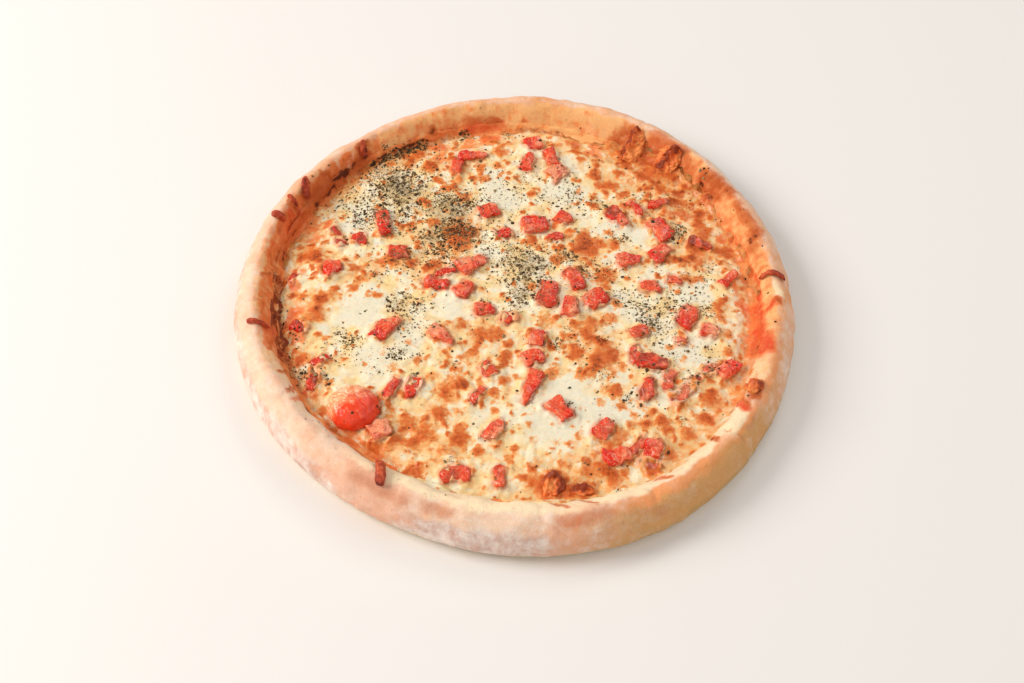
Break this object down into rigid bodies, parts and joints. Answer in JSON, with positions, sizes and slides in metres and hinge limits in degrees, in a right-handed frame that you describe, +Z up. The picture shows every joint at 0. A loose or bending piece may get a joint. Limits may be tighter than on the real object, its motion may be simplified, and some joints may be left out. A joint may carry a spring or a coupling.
{
  "type": "margherita pizza",
  "caption": "Round baked pizza with a puffed rim, melted browned cheese, diced tomato, a cherry tomato half and dried herb flakes.",
  "frame": {"origin": "under the middle of the pizza, on its flat underside", "axes": "+Z up out of the topping; +Y away from the side that is nearest in the usual view, +X to its right"},
  "size_m": [0.2552, 0.2656, 0.0247],
  "materials": {
    "crust": "baked dough, floury outside and golden inside",
    "sauce": "baked tomato sauce, moist",
    "cheese": "melted cheese with browned spots and oil",
    "tomato": "wet cut tomato",
    "browned_cheese": "browned, slightly shiny cheese",
    "herb": "dried herb leaf"
  },
  "bodies": {
    "root": {"crust": "crust", "sauce": "sauce", "cheese": "cheese", "cherry_tomato": "tomato", "tomato_01": "tomato", "tomato_02": "tomato", "tomato_03": "tomato", "tomato_04": "tomato", "tomato_05": "tomato", "tomato_06": "tomato", "tomato_07": "tomato", "tomato_08": "tomato", "tomato_09": "tomato", "tomato_10": "tomato", "tomato_11": "tomato", "tomato_12": "tomato", "tomato_13": "tomato", "tomato_14": "tomato", "tomato_15": "tomato", "tomato_16": "tomato", "tomato_17": "tomato", "tomato_18": "tomato", "tomato_19": "tomato", "tomato_20": "tomato", "tomato_21": "tomato", "tomato_22": "tomato", "tomato_23": "tomato", "tomato_24": "tomato", "tomato_25": "tomato", "tomato_26": "tomato", "tomato_27": "tomato", "tomato_28": "tomato", "tomato_29": "tomato", "tomato_30": "tomato", "tomato_31": "tomato", "tomato_32": "tomato", "tomato_33": "tomato", "tomato_34": "tomato", "tomato_35": "tomato", "tomato_36": "tomato", "tomato_37": "tomato", "tomato_38": "tomato", "tomato_39": "tomato", "tomato_40": "tomato", "tomato_41": "tomato", "tomato_42": "tomato", "tomato_43": "tomato", "tomato_44": "tomato", "cheese_shred_01": "browned_cheese", "cheese_shred_02": "browned_cheese", "cheese_shred_03": "browned_cheese", "cheese_shred_04": "browned_cheese", "cheese_shred_05": "browned_cheese", "cheese_shred_06": "browned_cheese", "cheese_shred_07": "browned_cheese", "cheese_blister_01": "browned_cheese", "cheese_blister_02": "browned_cheese", "cheese_blister_03": "browned_cheese", "cheese_blister_04": "browned_cheese", "cheese_blister_05": "browned_cheese"}
  },
  "joints": []
}
